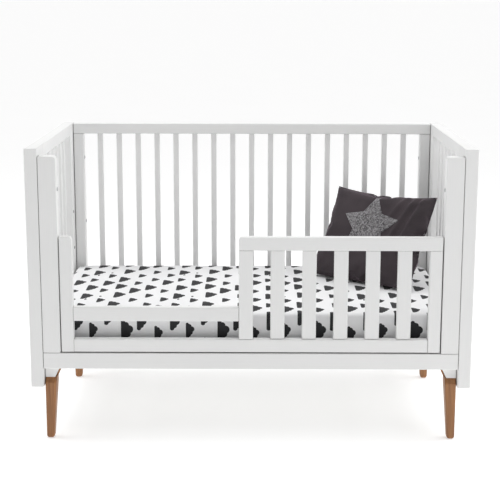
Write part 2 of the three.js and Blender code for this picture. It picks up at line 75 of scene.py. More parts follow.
# ---------- Nodes ----------
class Nodes:
    """Builds one material's node tree."""

    def __init__(self, name):
        self.material = bpy.data.materials.new(name)
        self.material.use_nodes = True
        self.tree = self.material.node_tree
        self.shader = self.tree.nodes["Principled BSDF"]

    def put(self, socket, value):
        if isinstance(value, bpy.types.NodeSocket):
            self.tree.links.new(value, socket)
        elif value is not None:
            socket.default_value = value

    def add(self, kind, *inputs, **properties):
        node = self.tree.nodes.new("ShaderNode" + kind)
        for name, value in properties.items():
            setattr(node, name, value)
        for socket, value in zip(node.inputs, inputs):
            self.put(socket, value)
        return node

    def math(self, operation, a, b=0.0, c=0.0):
        return self.add("Math", a, b, c, operation=operation).outputs[0]

    def noise(self, vector, scale, detail=2.0, rough=0.5):
        node = self.add("TexNoise")
        for name, value in (("Vector", vector), ("Scale", scale), ("Detail", detail), ("Roughness", rough)):
            self.put(node.inputs[name], value)
        return node.outputs["Fac"]

    def stretch(self, vector, by):
        return self.add("Mapping", vector, None, None, by).outputs[0]

    def spread(self, value, low, high, to_low=0.0, to_high=1.0):
        return self.add("MapRange", value, low, high, to_low, to_high).outputs[0]

    def mix(self, factor, a, b):
        node = self.add("Mix", data_type="RGBA")
        self.put(node.inputs["Factor"], factor)
        for socket, colour in ((node.inputs[6], a), (node.inputs[7], b)):
            self.put(socket, (*colour, 1) if isinstance(colour, tuple) else colour)
        return node.outputs[2]

    def bump(self, height, distance, strength=1.0, normal=None):
        node = self.add("Bump")
        for name, value in (("Height", height), ("Distance", distance),
                            ("Strength", strength), ("Normal", normal)):
            self.put(node.inputs[name], value)
        return node.outputs[0]

    def place(self):
        return self.add("TexCoord").outputs["Object"]

    def flat(self):
        return self.add("TexCoord").outputs["UV"]

    def finish(self, **sockets):
        for name, value in sockets.items():
            self.put(self.shader.inputs[name.replace("_", " ")], value)
        return self.material


def soft_edge(n, radius=0.0016):
    """A normal rounded at edges, and a mask that is 1 on the edges, with which the materials paint shade or
    highlights along them.
    """
    rounded = n.add("Bevel", radius, samples=4).outputs[0]
    plain = n.add("NewGeometry").outputs["Normal"]
    dot = n.add("VectorMath", rounded, plain, operation="DOT_PRODUCT").outputs["Value"]
    return rounded, n.spread(dot, 0.995, 0.85)


def painted_crevice_shade(n, distance):
    """Painted shade from ambient occlusion: a mask that is 1 in the open and 0 deep in a joint, where shade
    falls.
    """
    node = n.add("AmbientOcclusion", samples=4)
    n.put(node.inputs["Distance"], distance)
    return n.spread(node.outputs["AO"], 0.3, 0.8)


def paint_material(axis):
    n = Nodes("white_paint_" + axis)
    at = n.place()
    along = {"x": (0.02, 1, 1), "z": (1, 1, 0.02)}[axis]
    grain = n.noise(n.stretch(at, along), 420, 4, 0.6)
    brush = n.noise(n.stretch(at, along), 95, 2)
    cloudy = n.noise(at, 2.3, 3)
    peel = n.noise(at, 900, 1)
    rounded, edge = soft_edge(n)
    colour = n.mix(n.spread(cloudy, 0.3, 0.7), (0.865, 0.867, 0.865), (0.895, 0.895, 0.888))
    colour = n.mix(n.math("MULTIPLY", n.spread(grain, 0.35, 0.7), 0.25), colour, (0.80, 0.802, 0.798))
    # Painted shade: a darker, greyer tone on the rounded edges, to set them off from the faces.
    colour = n.mix(n.math("MULTIPLY", edge, 0.35), colour, (0.74, 0.735, 0.725))
    # Painted shade: the paint darkens deep in joints and corners, from ambient occlusion.
    colour = n.mix(painted_crevice_shade(n, 0.006), (0.43, 0.425, 0.42), colour)
    rough = n.math("ADD", n.spread(brush, 0.3, 0.7, 0.36, 0.5), n.math("MULTIPLY", edge, 0.1))
    normal = n.bump(grain, 0.00022, 0.5, rounded)
    normal = n.bump(peel, 0.00006, 0.5, normal)
    return n.finish(Base_Color=colour, Roughness=rough, Normal=normal)


def wood_material():
    n = Nodes("leg_wood")
    at = n.place()
    warp = n.noise(n.stretch(at, (1, 1, 0.25)), 14, 2)
    drift = [n.math("MULTIPLY", warp, reach) for reach in (0.03, 0.02)]
    shift = n.add("CombineXYZ", *drift, 0.0).outputs[0]
    bent = n.add("VectorMath", at, shift, operation="ADD").outputs[0]
    figure = n.noise(n.stretch(bent, (1, 1, 0.035)), 105, 3, 0.55)
    pores = n.noise(n.stretch(bent, (1, 1, 0.022)), 620, 3, 0.7)
    tone = n.noise(n.stretch(at, (1, 1, 0.3)), 9, 2)
    rounded, edge = soft_edge(n, 0.002)
    colour = n.mix(n.spread(figure, 0.32, 0.68), (0.195, 0.072, 0.019), (0.395, 0.170, 0.054))
    colour = n.mix(n.math("MULTIPLY", n.spread(pores, 0.56, 0.72), 0.55), colour, (0.10, 0.036, 0.011))
    colour = n.mix(n.spread(tone, 0.3, 0.75, 0.0, 0.35), colour, (0.43, 0.205, 0.078))
    # Painted highlight: a lighter tone on the rounded edges.
    colour = n.mix(n.math("MULTIPLY", edge, 0.35), colour, (0.50, 0.26, 0.11))
    rough = n.spread(pores, 0.3, 0.75, 0.36, 0.58)
    normal = n.bump(n.math("SUBTRACT", figure, n.math("MULTIPLY", pores, 0.6)), 0.0003, 0.5, rounded)
    return n.finish(Base_Color=colour, Roughness=rough, Normal=normal, Coat_Weight=0.15, Coat_Roughness=0.35)


def steel_material(name):
    n = Nodes(name)
    at = n.place()
    cells = n.add("TexVoronoi", feature="F1")
    n.put(cells.inputs["Vector"], at)
    n.put(cells.inputs["Scale"], 240)
    spangle = n.add("RGBToBW", cells.outputs["Color"]).outputs[0]
    smear = n.noise(at, 60, 4, 0.6)
    rounded, edge = soft_edge(n, 0.0006)
    colour = n.mix(spangle, (0.52, 0.53, 0.54), (0.68, 0.68, 0.69))
    colour = n.mix(n.spread(smear, 0.55, 0.8, 0.0, 0.4), colour, (0.40, 0.38, 0.34))
    # Painted highlight: a lighter tone on the rounded edges, standing in for glints.
    colour = n.mix(n.math("MULTIPLY", edge, 0.5), colour, (0.80, 0.80, 0.80))
    rough = n.math("ADD", n.spread(spangle, 0.0, 1.0, 0.28, 0.42), n.math("MULTIPLY", smear, 0.1))
    return n.finish(Base_Color=colour, Roughness=rough, Metallic=0.9,
                    Normal=n.bump(smear, 0.0001, 0.4, rounded))


def blackened_material():
    n = Nodes("blackened_steel")
    at = n.place()
    smear = n.noise(at, 180, 3, 0.6)
    scratch = n.noise(n.stretch(at, (1, 12, 1)), 400, 2)
    colour = n.mix(n.spread(smear, 0.35, 0.7), (0.012, 0.012, 0.013), (0.045, 0.043, 0.042))
    return n.finish(Base_Color=colour, Roughness=n.spread(scratch, 0.3, 0.7, 0.35, 0.6), Metallic=0.6,
                    Normal=n.bump(scratch, 0.00005, 0.4))


def weave(n, flat, pitch):
    """Height of a plain weave of that pitch, over flat coordinates in metres."""
    apart = n.add("SeparateXYZ", flat).outputs
    turns = [n.math("MULTIPLY", apart[i], 2 * math.pi / pitch) for i in (0, 1)]
    across, up = (n.math("SINE", turn) for turn in turns)
    return n.math("MULTIPLY", across, up)


# ---------- Printed cotton ----------
PRINT_COLUMN, PRINT_ROW = 0.052, 0.115
PRINT_REPEAT = (6.0, 3.0)  # in columns and rows
PRINT_DRIFT = (0.006, 0.013)  # how far a cloud strays across and up its cell
LARGE_CLOUDS, TINY_CLOUDS = (0.052, 0.074), (0.016, 0.020)
LARGE_SHARE = 0.44  # of a cell's draw, past which its cloud has the larger size
CLOUD_LOBES = ((-0.40, 0.09, 0.10), (-0.27, 0.18, 0.13), (-0.10, 0.27, 0.16), (0.10, 0.35, 0.18),
               (0.29, 0.21, 0.14), (0.42, 0.09, 0.095))


def cloud_distance(n, across, up, size):
    """Signed distance, as a share of size, to a cloud that lies with its flat side at across = 0."""
    across, up = n.math("DIVIDE", across, size), n.math("DIVIDE", up, size)
    nearest = None
    for centre, out, radius in CLOUD_LOBES:
        reach = n.math("SUBTRACT", across, out)
        along = n.math("SUBTRACT", up, centre)
        squares = n.math("ADD", n.math("MULTIPLY", reach, reach), n.math("MULTIPLY", along, along))
        lobe = n.math("SUBTRACT", n.math("SQRT", squares), radius)
        nearest = lobe if nearest is None else n.math("MINIMUM", nearest, lobe)
    slab = n.math("SUBTRACT", n.math("ABSOLUTE", up), 0.37)
    nearest = n.math("MINIMUM", nearest, n.math("MAXIMUM", slab, n.math("SUBTRACT", across, 0.2)))
    return n.math("MAXIMUM", nearest, n.math("MULTIPLY", across, -1.0))


def print_layer(n, flat, offset, sizes, keep, seed):
    """Clouds on a staggered lattice, each moved and sized by its cell: 1 inside a cloud. Only the
    cells whose draw is under keep have one."""
    apart = n.add("SeparateXYZ", flat).outputs
    column = n.math("ADD", n.math("DIVIDE", apart[0], PRINT_COLUMN), offset[0])
    k = n.math("FLOOR", column)
    stagger = n.math("MULTIPLY", n.math("FLOORED_MODULO", k, 2.0), 0.5)
    row = n.math("ADD", n.math("ADD", n.math("DIVIDE", apart[1], PRINT_ROW), offset[1]), stagger)
    j = n.math("FLOOR", row)
    repeat = [n.math("FLOORED_MODULO", number, count) for number, count in zip((k, j), PRINT_REPEAT)]
    cell = n.add("CombineXYZ", *repeat, seed).outputs[0]
    dice = n.add("TexWhiteNoise", cell, noise_dimensions="3D").outputs["Color"]
    random = n.add("SeparateColor", dice).outputs
    size = n.spread(n.math("GREATER_THAN", random[0], LARGE_SHARE), 0.0, 1.0, *sizes)
    across = n.math("MULTIPLY", n.math("SUBTRACT", n.math("FRACT", column), 0.5), PRINT_COLUMN)
    across = n.math("ADD", across, n.math("MULTIPLY", size, 0.26))
    across = n.math("ADD", across, n.spread(random[1], 0.0, 1.0, -PRINT_DRIFT[0], PRINT_DRIFT[0]))
    up = n.math("MULTIPLY", n.math("SUBTRACT", n.math("FRACT", row), 0.5), PRINT_ROW)
    up = n.math("ADD", up, n.spread(random[2], 0.0, 1.0, -PRINT_DRIFT[1], PRINT_DRIFT[1]))
    inside = n.math("LESS_THAN", cloud_distance(n, across, up, size), 0.0)
    return n.math("MULTIPLY", inside, n.math("LESS_THAN", random[0], keep))


def sheet_material():
    n = Nodes("printed_cotton")
    flat, at = n.flat(), n.place()
    threads = weave(n, flat, 0.0009)
    slub = n.noise(n.stretch(flat, (1, 0.08, 1)), 700, 2)
    tone = n.noise(at, 5, 3)
    big = print_layer(n, flat, (0.2, 0.1), LARGE_CLOUDS, 2.0, 1.0)
    tiny = print_layer(n, flat, (0.2, 0.6), TINY_CLOUDS, 0.13, 4.0)
    ink = n.math("MAXIMUM", big, tiny)
    white = n.mix(n.spread(tone, 0.3, 0.7), (0.80, 0.80, 0.81), (0.84, 0.84, 0.845))
    white = n.mix(n.math("MULTIPLY", n.spread(slub, 0.5, 0.75), 0.3), white, (0.74, 0.74, 0.75))
    dark = n.mix(n.spread(slub, 0.3, 0.7), (0.019, 0.019, 0.021), (0.031, 0.031, 0.033))
    normal = n.bump(n.math("ADD", threads, slub), 0.00008, 0.5)
    return n.finish(Base_Color=n.mix(ink, white, dark), Roughness=n.spread(slub, 0.3, 0.7, 0.78, 0.92),
                    Normal=normal, Sheen_Weight=0.06, Sheen_Roughness=0.5,
                    Specular_IOR_Level=0.3)


def ticking_material():
    n = Nodes("ticking")
    flat = n.flat()
    apart = n.add("SeparateXYZ", flat).outputs
    threads = weave(n, flat, 0.0014)
    stripe = n.math("SINE", n.math("MULTIPLY", apart[0], 2 * math.pi / 0.016))
    fuzz = n.noise(flat, 900, 3)
    colour = n.mix(n.spread(stripe, 0.86, 0.93), (0.76, 0.74, 0.69), (0.40, 0.44, 0.50))
    colour = n.mix(n.math("MULTIPLY", n.spread(fuzz, 0.4, 0.7), 0.4), colour, (0.66, 0.64, 0.58))
    normal = n.bump(n.math("ADD", threads, fuzz), 0.00015, 0.6)
    return n.finish(Base_Color=colour, Roughness=n.spread(fuzz, 0.3, 0.7, 0.8, 0.95), Normal=normal,
                    Sheen_Weight=0.1)


def cushion_material():
    n = Nodes("cushion_cloth")
    flat, at = n.flat(), n.place()
    threads = weave(n, flat, 0.0011)
    nap = n.noise(n.stretch(flat, (1, 0.25, 1)), 850, 3, 0.6)
    tone = n.noise(at, 11, 3)
    colour = n.mix(n.spread(tone, 0.3, 0.72), (0.030, 0.0225, 0.0262), (0.046, 0.0345, 0.0398))
    colour = n.mix(n.math("MULTIPLY", n.spread(nap, 0.45, 0.75), 0.5), colour, (0.070, 0.056, 0.063))
    normal = n.bump(n.math("ADD", threads, nap), 0.00012, 0.7)
    return n.finish(Base_Color=colour, Roughness=n.spread(nap, 0.3, 0.7, 0.68, 0.88), Normal=normal,
                    Sheen_Weight=0.32, Sheen_Roughness=0.3,
                    Sheen_Tint=(0.95, 0.72, 0.88, 1),
                    Specular_IOR_Level=0.35)


def star_material():
    n = Nodes("star_cloth")
    flat = n.flat()
    loops = n.add("TexVoronoi", feature="F1")
    n.put(loops.inputs["Vector"], flat)
    n.put(loops.inputs["Scale"], 290)
    fleck = n.add("RGBToBW", loops.outputs["Color"]).outputs[0]
    tone = n.noise(flat, 30, 2)
    colour = n.mix(n.spread(fleck, 0.25, 0.75), (0.05, 0.047, 0.05), (0.31, 0.30, 0.31))
    colour = n.mix(n.spread(tone, 0.3, 0.7, 0.0, 0.2), colour, (0.17, 0.165, 0.17))
    height = n.math("SUBTRACT", n.math("MULTIPLY", fleck, 0.5), loops.outputs["Distance"])
    return n.finish(Base_Color=colour, Roughness=n.spread(fleck, 0.3, 0.7, 0.85, 0.97),
                    Normal=n.bump(height, 0.0012, 0.7), Sheen_Weight=0.2)


def floor_material():
    n = Nodes("floor")
    at = n.place()
    tone = n.noise(at, 1.4, 3)
    colour = n.mix(n.spread(tone, 0.3, 0.7), (0.75, 0.75, 0.75), (0.765, 0.765, 0.765))
    return n.finish(Base_Color=colour, Roughness=0.8, Normal=n.bump(n.noise(at, 300, 2), 0.0001, 0.3),
                    Emission_Color=(1, 1, 1, 1), Emission_Strength=0.46)


paint = {axis: paint_material(axis) for axis in "xz"}
leg_wood = wood_material()
zinc = steel_material("bracket_steel")


# ---------- Mesh helpers ----------
def add_mesh(name, points, faces, material, uvs=None):
    mesh = bpy.data.meshes.new(name)
    mesh.from_pydata([tuple(p) for p in points], [], [tuple(f) for f in faces])
    if uvs is not None:
        layer = mesh.uv_layers.new(name="flat")
        layer.data.foreach_set("uv", np.array(uvs, np.float32).ravel())
    mesh.polygons.foreach_set("use_smooth", [True] * len(mesh.polygons))
    mesh.materials.append(material)
    mesh.update()
    obj = bpy.data.objects.new(name, mesh)
    scene.collection.objects.link(obj)
    return obj


def weld(obj, distance=1e-5):
    modifier = obj.modifiers.new("weld", "WELD")
    modifier.merge_threshold = distance
    bake(obj)


def bake(obj):
    """Turns an object's modifiers into its mesh."""
    graph = bpy.context.evaluated_depsgraph_get()
    made = bpy.data.meshes.new_from_object(obj.evaluated_get(graph), depsgraph=graph)
    obj.modifiers.clear()
    obj.data = made


def subdivide(obj, levels):
    modifier = obj.modifiers.new("smooth", "SUBSURF")
    modifier.levels = modifier.render_levels = levels


def tube(name, line, radius, material, sides=8):
    """A closed ring of cord along a closed line of points."""
    line = [Vector(p) for p in line]
    count = len(line)
    points, faces, uvs = [], [], []
    middle = sum(line, Vector()) / count
    for i, p in enumerate(line):
        ahead = (line[(i + 1) % count] - line[i - 1]).normalized()
        out = (p - middle).normalized()
        side = ahead.cross(out).normalized()
        out = side.cross(ahead).normalized()
        for s in range(sides):
            a = 2 * math.pi * s / sides
            points.append(p + radius * (math.cos(a) * out + math.sin(a) * side))
    for i in range(count):
        for s in range(sides):
            t = (s + 1) % sides
            a, b = i * sides, (i + 1) % count * sides
            faces.append((a + s, b + s, b + t, a + t))
            corners = ((s, i), (s, i + 1), (s + 1, i + 1), (s + 1, i))
            uvs += [(x * radius, y * radius) for x, y in corners]
    return add_mesh(name, points, faces, material, uvs)


# ---------- CAD pieces: paint, wood and zinc ----------
ALONG_X = ("apron", "rail")
for name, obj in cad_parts.items():
    if name.endswith("_leg"):
        material = leg_wood
    elif name.endswith("_bracket"):
        material = zinc
    elif any(word in name for word in ALONG_X):
        material = paint["x"]
    else:
        material = paint["z"]
    obj.data.materials.clear()
    obj.data.materials.append(material)


# ---------- Mattress and fitted sheet ----------
QUARTER_TURNS = ((1, 0), (0, 1), (-1, 0), (0, -1))  # cosine and sine
HEM = 0.019
SHEET_CORNER, SHEET_EDGE, SHEET_GRID = 0.0365, 0.0155, (150, 76)
CORE_CORNER, CORE_EDGE, CORE_GRID = 0.035, 0.015, (110, 60)
SHEET_INSET, CORE_INSET = 0.0004, 0.0032  # inside the CAD pieces' sides
SHEET_TOP_DROP, CORE_TOP_DROP = 0.0002, 0.0062
SHEET_LIFT, CORE_LIFT = 0.0003, 0.0026  # above the CAD mattress's underside
TUFT_PITCH, TUFT_DEPTH = 0.11, 0.003


def outline(half_x, half_y, radius, inset, steps, arc=7):
    """Four sides of a rounded rectangle, each from corner middle to corner middle, anticlockwise from
    the front. A row is (x, y, unrolled): unrolled is the distance along the side from its middle."""
    sides = []
    halves = ((half_x, half_y), (half_y, half_x), (half_x, half_y), (half_y, half_x))
    for turn, (a, b) in enumerate(halves):
        straight = a - radius
        left = []
        for i in range(arc):
            angle = math.pi / 4 * (1 - i / arc)
            x = -straight - (radius - inset) * math.sin(angle)
            y = -(b - radius) - (radius - inset) * math.cos(angle)
            left.append((x, y, -straight - radius * angle))
        count = steps[turn % 2]
        middle = [(-straight + 2 * straight * i / count, -b + inset) for i in range(count + 1)]
        row = left + [(x, y, x) for x, y in middle] + [(-x, y, -u) for x, y, u in reversed(left)]
        c, s = QUARTER_TURNS[turn]
        sides.append([(x * c - y * s, x * s + y * c, u) for x, y, u in row])
    return sides


def patch(sides):
    """Fills an outline with a grid, as {(i, j): (x, y)}, i to the right and j to the back."""
    front, right, back, left = [[(x, y) for x, y, _ in side] for side in sides]
    back, left = back[::-1], left[::-1]
    wide, deep = len(front) - 1, len(right) - 1
    grid = {}
    for i in range(wide + 1):
        s = (front[i][0] - front[0][0]) / (front[-1][0] - front[0][0])
        for j in range(deep + 1):
            t = (right[j][1] - right[0][1]) / (right[-1][1] - right[0][1])
            point = []
            for k in (0, 1):
                sweep = (1 - t) * front[i][k] + t * back[i][k] + (1 - s) * left[j][k] + s * right[j][k]
                corners = ((1 - s) * (1 - t) * front[0][k] + s * (1 - t) * front[-1][k]
                           + (1 - s) * t * back[0][k] + s * t * back[-1][k])
                point.append(sweep - corners)
            grid[i, j] = tuple(point)
    return grid, wide, deep


class Slab:
    """A box with rounded corners and rolled edges, skinned with a cloth whose flat coordinates run
    over the top and on down each side, and meet at a seam on every corner."""

    def __init__(self, low, high, corner, edge, shrink, steps):
        self.centre = (low + high) / 2
        self.half = [(high[k] - low[k]) / 2 - shrink for k in (0, 1)]
        self.top, self.bottom = high[2], low[2]
        self.corner, self.edge, self.steps = corner - shrink, edge, steps
        self.points, self.faces, self.uvs = [], [], []

    def lay(self, rows, flip):
        """Adds a grid of (point, flat) rows."""
        start, wide = len(self.points), len(rows[0])
        self.points += [point for row in rows for point, _ in row]
        flats = [flat for row in rows for _, flat in row]
        for j in range(len(rows) - 1):
            for i in range(wide - 1):
                quad = [j * wide + i, j * wide + i + 1, (j + 1) * wide + i + 1, (j + 1) * wide + i]
                if flip:
                    quad.reverse()
                self.faces.append([start + q for q in quad])
                self.uvs += [flats[q] for q in quad]

    def face(self, z, inset, flip, lift):
        grid, wide, deep = patch(outline(*self.half, self.corner, inset, self.steps))
        rows = []
        for j in range(deep + 1):
            row = []
            for i in range(wide + 1):
                x, y = grid[i, j]
                row.append((Vector((self.centre.x + x, self.centre.y + y, z + lift(x, y))), (x, y)))
            rows.append(row)
        self.lay(rows, flip)

    def skirt(self, profile, lift, push):
        """profile is a list of (inset, z, distance from the top face's rim)."""
        levels = [outline(*self.half, self.corner, inset, self.steps) for inset, _, _ in profile]
        for turn, (c, s) in enumerate(QUARTER_TURNS):
            rim = self.half[1 - turn % 2] - profile[0][0]
            rows = []
            for sides, (_, z, far) in zip(levels, profile):
                row = []
                for x, y, u in sides[turn]:
                    high = max(0.0, 1 - far / 0.02)
                    inward = Vector((-x, -y)).normalized() * push(turn, u, far)
                    point = Vector((self.centre.x + x + inward.x, self.centre.y + y + inward.y,
                                    z + high * lift(x, y)))
                    v = -(rim + far)
                    row.append((point, (u * c - v * s, u * s + v * c)))
                rows.append(row)
            self.lay(rows, True)

    def build(self, name, material):
        obj = add_mesh(name, self.points, self.faces, material, self.uvs)
        weld(obj)
        return obj


def rolled(slab, hem):
    """The skirt's profile: over the top edge, down the side, round the lower edge and under."""
    e, top, bottom = slab.edge, slab.top, slab.bottom
    rows = []
    for i in range(7):
        a = math.pi / 2 * i / 6
        rows.append((e * (1 - math.sin(a)), top - e * (1 - math.cos(a)), e * a))
    down = top - bottom - 2 * e
    turn = e * math.pi / 2
    rows += [(0.0, top - e - down * i / 14, turn + down * i / 14) for i in range(1, 15)]
    for i in range(1, 7):
        a = math.pi / 2 * i / 6
        rows.append((e * (1 - math.cos(a)), bottom + e * (1 - math.sin(a)), turn + down + e * a))
    rows += [(e + hem * i / 4, bottom, 2 * turn + down + hem * i / 4) for i in range(1, 5)]
    return rows


def creased(x, y, scale, seed):
    return noise.noise(Vector((x * scale, y * scale, seed)))


def sheet_lift(x, y, half_x, half_y):
    """How the sheet's top stands off flat: a low crown, pulls from the corners and faint creases."""
    fall = 0.0030 * ((abs(x) / half_x) ** 6 + (abs(y) / half_y) ** 4)
    pull = 0.0
    for cx in (-half_x, half_x):
        for cy in (-half_y, half_y):
            away = math.hypot(x - cx, y - cy)
            angle = math.atan2(abs(y - cy), abs(x - cx))
            wave = math.sin(15 * angle + 4 * creased(x, y, 4, cx + 2 * cy))
            pull += 0.0013 * math.exp(-away / 0.16) * wave * min(1.0, away / 0.05)
    ridge = 1 - abs(creased(x + 0.25 * y, y - 0.2 * x, 5.2, 3.0)) * 5
    return -fall + pull + 0.0009 * creased(x, y, 6, 7.0) + 0.0007 * max(0.0, ridge) - 0.0012


def sheet_push(turn, u, far):
    """How far a point of the skirt is pressed in: shallow upright folds that deepen to the hem."""
    wave = 0.5 + 0.5 * math.sin(u * 31 + 5 * creased(u, far, 3, turn + 0.5))
    fine = 0.5 + 0.5 * creased(u, far, 26, turn + 11.0)
    return min(1.0, far / 0.03) * (0.0009 * wave + 0.0008 * fine)


sheet_low, sheet_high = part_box("fitted_sheet")
mattress_low, mattress_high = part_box("mattress")
outer_low = Vector((sheet_low.x, sheet_low.y, mattress_low.z + SHEET_LIFT))
cotton = Slab(outer_low, sheet_high, SHEET_CORNER, SHEET_EDGE, SHEET_INSET, SHEET_GRID)
cotton.top = sheet_high.z - SHEET_TOP_DROP


def top_lift(x, y):
    return sheet_lift(x, y, *cotton.half)


def flat_lift(x, y):
    return 0.0


cotton.face(cotton.top, cotton.edge, False, top_lift)
cotton.skirt(rolled(cotton, HEM), top_lift, sheet_push)
sheet = cotton.build("fitted_sheet_cloth", sheet_material())
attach(sheet, "mattress")
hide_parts("fitted_sheet")


def quilt_lift(x, y):
    """Tufts on the mattress's underside, drawn up into it."""
    dx, dy = (x / TUFT_PITCH) % 1 - 0.5, (y / TUFT_PITCH) % 1 - 0.5
    return TUFT_DEPTH * math.exp(-(dx * dx + dy * dy) / 0.02)


core_low = mattress_low + Vector((0, 0, CORE_LIFT))
core = Slab(core_low, mattress_high, CORE_CORNER, CORE_EDGE, CORE_INSET, CORE_GRID)
core.top = mattress_high.z - CORE_TOP_DROP
core.face(core.top, core.edge, False, flat_lift)
core.skirt(rolled(core, 0.0), flat_lift, lambda turn, u, far: 0.0)
core.face(core.bottom, core.edge, True, quilt_lift)
mattress = core.build("mattress_core", ticking_material())
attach(mattress, "mattress")
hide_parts("mattress")


# ---------- Scatter cushion ----------
CUSHION_TURN, CUSHION_LEAN = -0.658, 0.54
CUSHION_WIDTH, CUSHION_HEIGHT, CUSHION_DEPTH = 0.410, 0.355, 0.118
CUSHION_STEPS = 56
CASE_SIDE, CASE_CROWN = 0.43, 0.02  # the flat case, before it is stuffed
STUFFING_PRESSURE, STUFFING_FRAMES = 3.0, 26
SEAM_SMOOTHING = 15
PIPING_RADIUS = 0.0017
CUSHION_SINK = 0.006  # how far its low corner is pressed flat
SEAT_GAP = 0.0003
STAR_MIDDLE, STAR_TIP, STAR_NOTCH, STAR_TURN = (0.006, 0.0215), 0.117, 0.0627, 89.8
EDGE_DIPS = {"top": 0.10, "bottom": 0.0, "left": 0.065, "right": 0.012}


def pillow_case(side, crown):
    """Two square panels sewn together round the edge, front towards -Y, as points and faces."""
    n = CUSHION_STEPS
    points, faces, uvs, index = [], [], [], {}

    def at(i, j, face):
        seam = i in (0, n) or j in (0, n)
        key = (i, j, 0 if seam else face)
        if key not in index:
            u, v = 2 * i / n - 1, 2 * j / n - 1
            puff = 0 if seam else face * crown * ((1 - u * u) * (1 - v * v)) ** 0.4
            index[key] = len(points)
            points.append((u * side / 2, puff, v * side / 2))
        return index[key]

    for face in (-1, 1):
        for i in range(n):
            for j in range(n):
                quad = [(i, j), (i + 1, j), (i + 1, j + 1), (i, j + 1)]
                if face > 0:
                    quad.reverse()
                faces.append([at(a, b, face) for a, b in quad])
                uvs += [(a * side / n + face, b * side / n) for a, b in quad]
    rim = [(i, 0) for i in range(n)] + [(n, j) for j in range(n)]
    rim += [(n - i, n) for i in range(n)] + [(0, n - j) for j in range(n)]
    return points, faces, uvs, [index[i, j, 0] for i, j in rim]


def inflate(obj, pressure, frames):
    """Blows the case up with the cloth solver, and keeps the result as its mesh."""
    cloth = obj.modifiers.new("stuffing", "CLOTH")
    settings = cloth.settings
    settings.quality = 7
    settings.mass = 0.25
    settings.tension_stiffness = settings.compression_stiffness = 12
    settings.shear_stiffness = 4
    settings.bending_stiffness = 0.6
    settings.air_damping = 4
    settings.use_pressure = True
    settings.uniform_pressure_force = pressure
    settings.effector_weights.gravity = 0
    cloth.collision_settings.use_self_collision = False
    cloth.point_cache.frame_start, cloth.point_cache.frame_end = 1, frames
    for number in range(1, frames + 1):
        scene.frame_set(number)
    bake(obj)
    scene.frame_set(1)


def true_sides(co, rim):
    """Moves the four seams to even curves, each drawn in by its own share, and the rest with them."""
    side = CUSHION_STEPS
    half_x, half_z = co[:, 0].max(), co[:, 2].max()
    for start, name, axis, half, reach in ((0, "bottom", 2, half_z, half_x), (1, "right", 0, half_x, half_z),
                                           (2, "top", 2, half_z, half_x), (3, "left", 0, half_x, half_z)):
        seam = co[[rim[(start * side + i) % (4 * side)] for i in range(side + 1)]]
        seam = seam[np.argsort(seam[:, 2 - axis])]
        sign = math.copysign(1, seam[side // 2, axis])
        at = co[:, 2 - axis]
        padded = np.pad(seam[:, axis], SEAM_SMOOTHING // 2, mode="reflect", reflect_type="odd")
        smooth = np.convolve(padded, np.full(SEAM_SMOOTHING, 1 / SEAM_SMOOTHING), "valid")
        now = np.abs(np.interp(at, seam[:, 2 - axis], smooth))
        wanted = half * (1 - EDGE_DIPS[name] * (1 - np.clip(at / reach, -1, 1) ** 2))
        here = co[:, axis] * sign > 0
        co[here, axis] *= (wanted / now)[here]
    return co


def gathered(x, z, half_x, half_z):
    """How far the front stands out from smooth: gathers from each corner and three folds on the right."""
    rise = 0.0
    for side_x in (-1, 1):
        for side_z in (-1, 1):
            away_x, away_z = half_x - side_x * x, half_z - side_z * z
            away = math.hypot(away_x, away_z)
            angle = math.atan2(away_z, away_x)
            wave = math.sin(11 * angle + 3 * creased(x, z, 9, side_x + 2.5 * side_z))
            rise += 0.0042 * math.exp(-away / 0.085) * wave * min(1.0, away / 0.03)
    for lean, start, depth in ((0.30, 0.028, 0.012), (0.50, 0.055, 0.010), (0.72, 0.088, 0.007)):
        off = (half_x - start - lean * (half_z - z) * 0.5) - x
        rise += depth * math.exp(-(off / 0.008) ** 2) * min(1.0, max(0.0, z + 0.5 * half_z) / 0.09)
    return rise + 0.0028 * creased(x, z, 13, 21.0)


def cushion_points():
    """The stuffed shape, sized to the CAD cushion, in its own frame."""
    points, faces, uvs, rim = pillow_case(CASE_SIDE, CASE_CROWN)
    obj = add_mesh("scatter_cushion_cloth", points, faces, cushion_material(), uvs)
    inflate(obj, STUFFING_PRESSURE, STUFFING_FRAMES)
    co = np.array([v.co for v in obj.data.vertices])
    co = true_sides(co - (co.max(0) + co.min(0)) / 2, rim)
    co *= np.array((CUSHION_WIDTH, CUSHION_DEPTH, CUSHION_HEIGHT)) / (co.max(0) - co.min(0))
    for point in co:
        full = min(1.0, abs(point[1]) / 0.02)
        out = gathered(point[0], point[2], CUSHION_WIDTH / 2, CUSHION_HEIGHT / 2)
        point[1] += full * math.copysign(out, point[1])
    return obj, co, rim


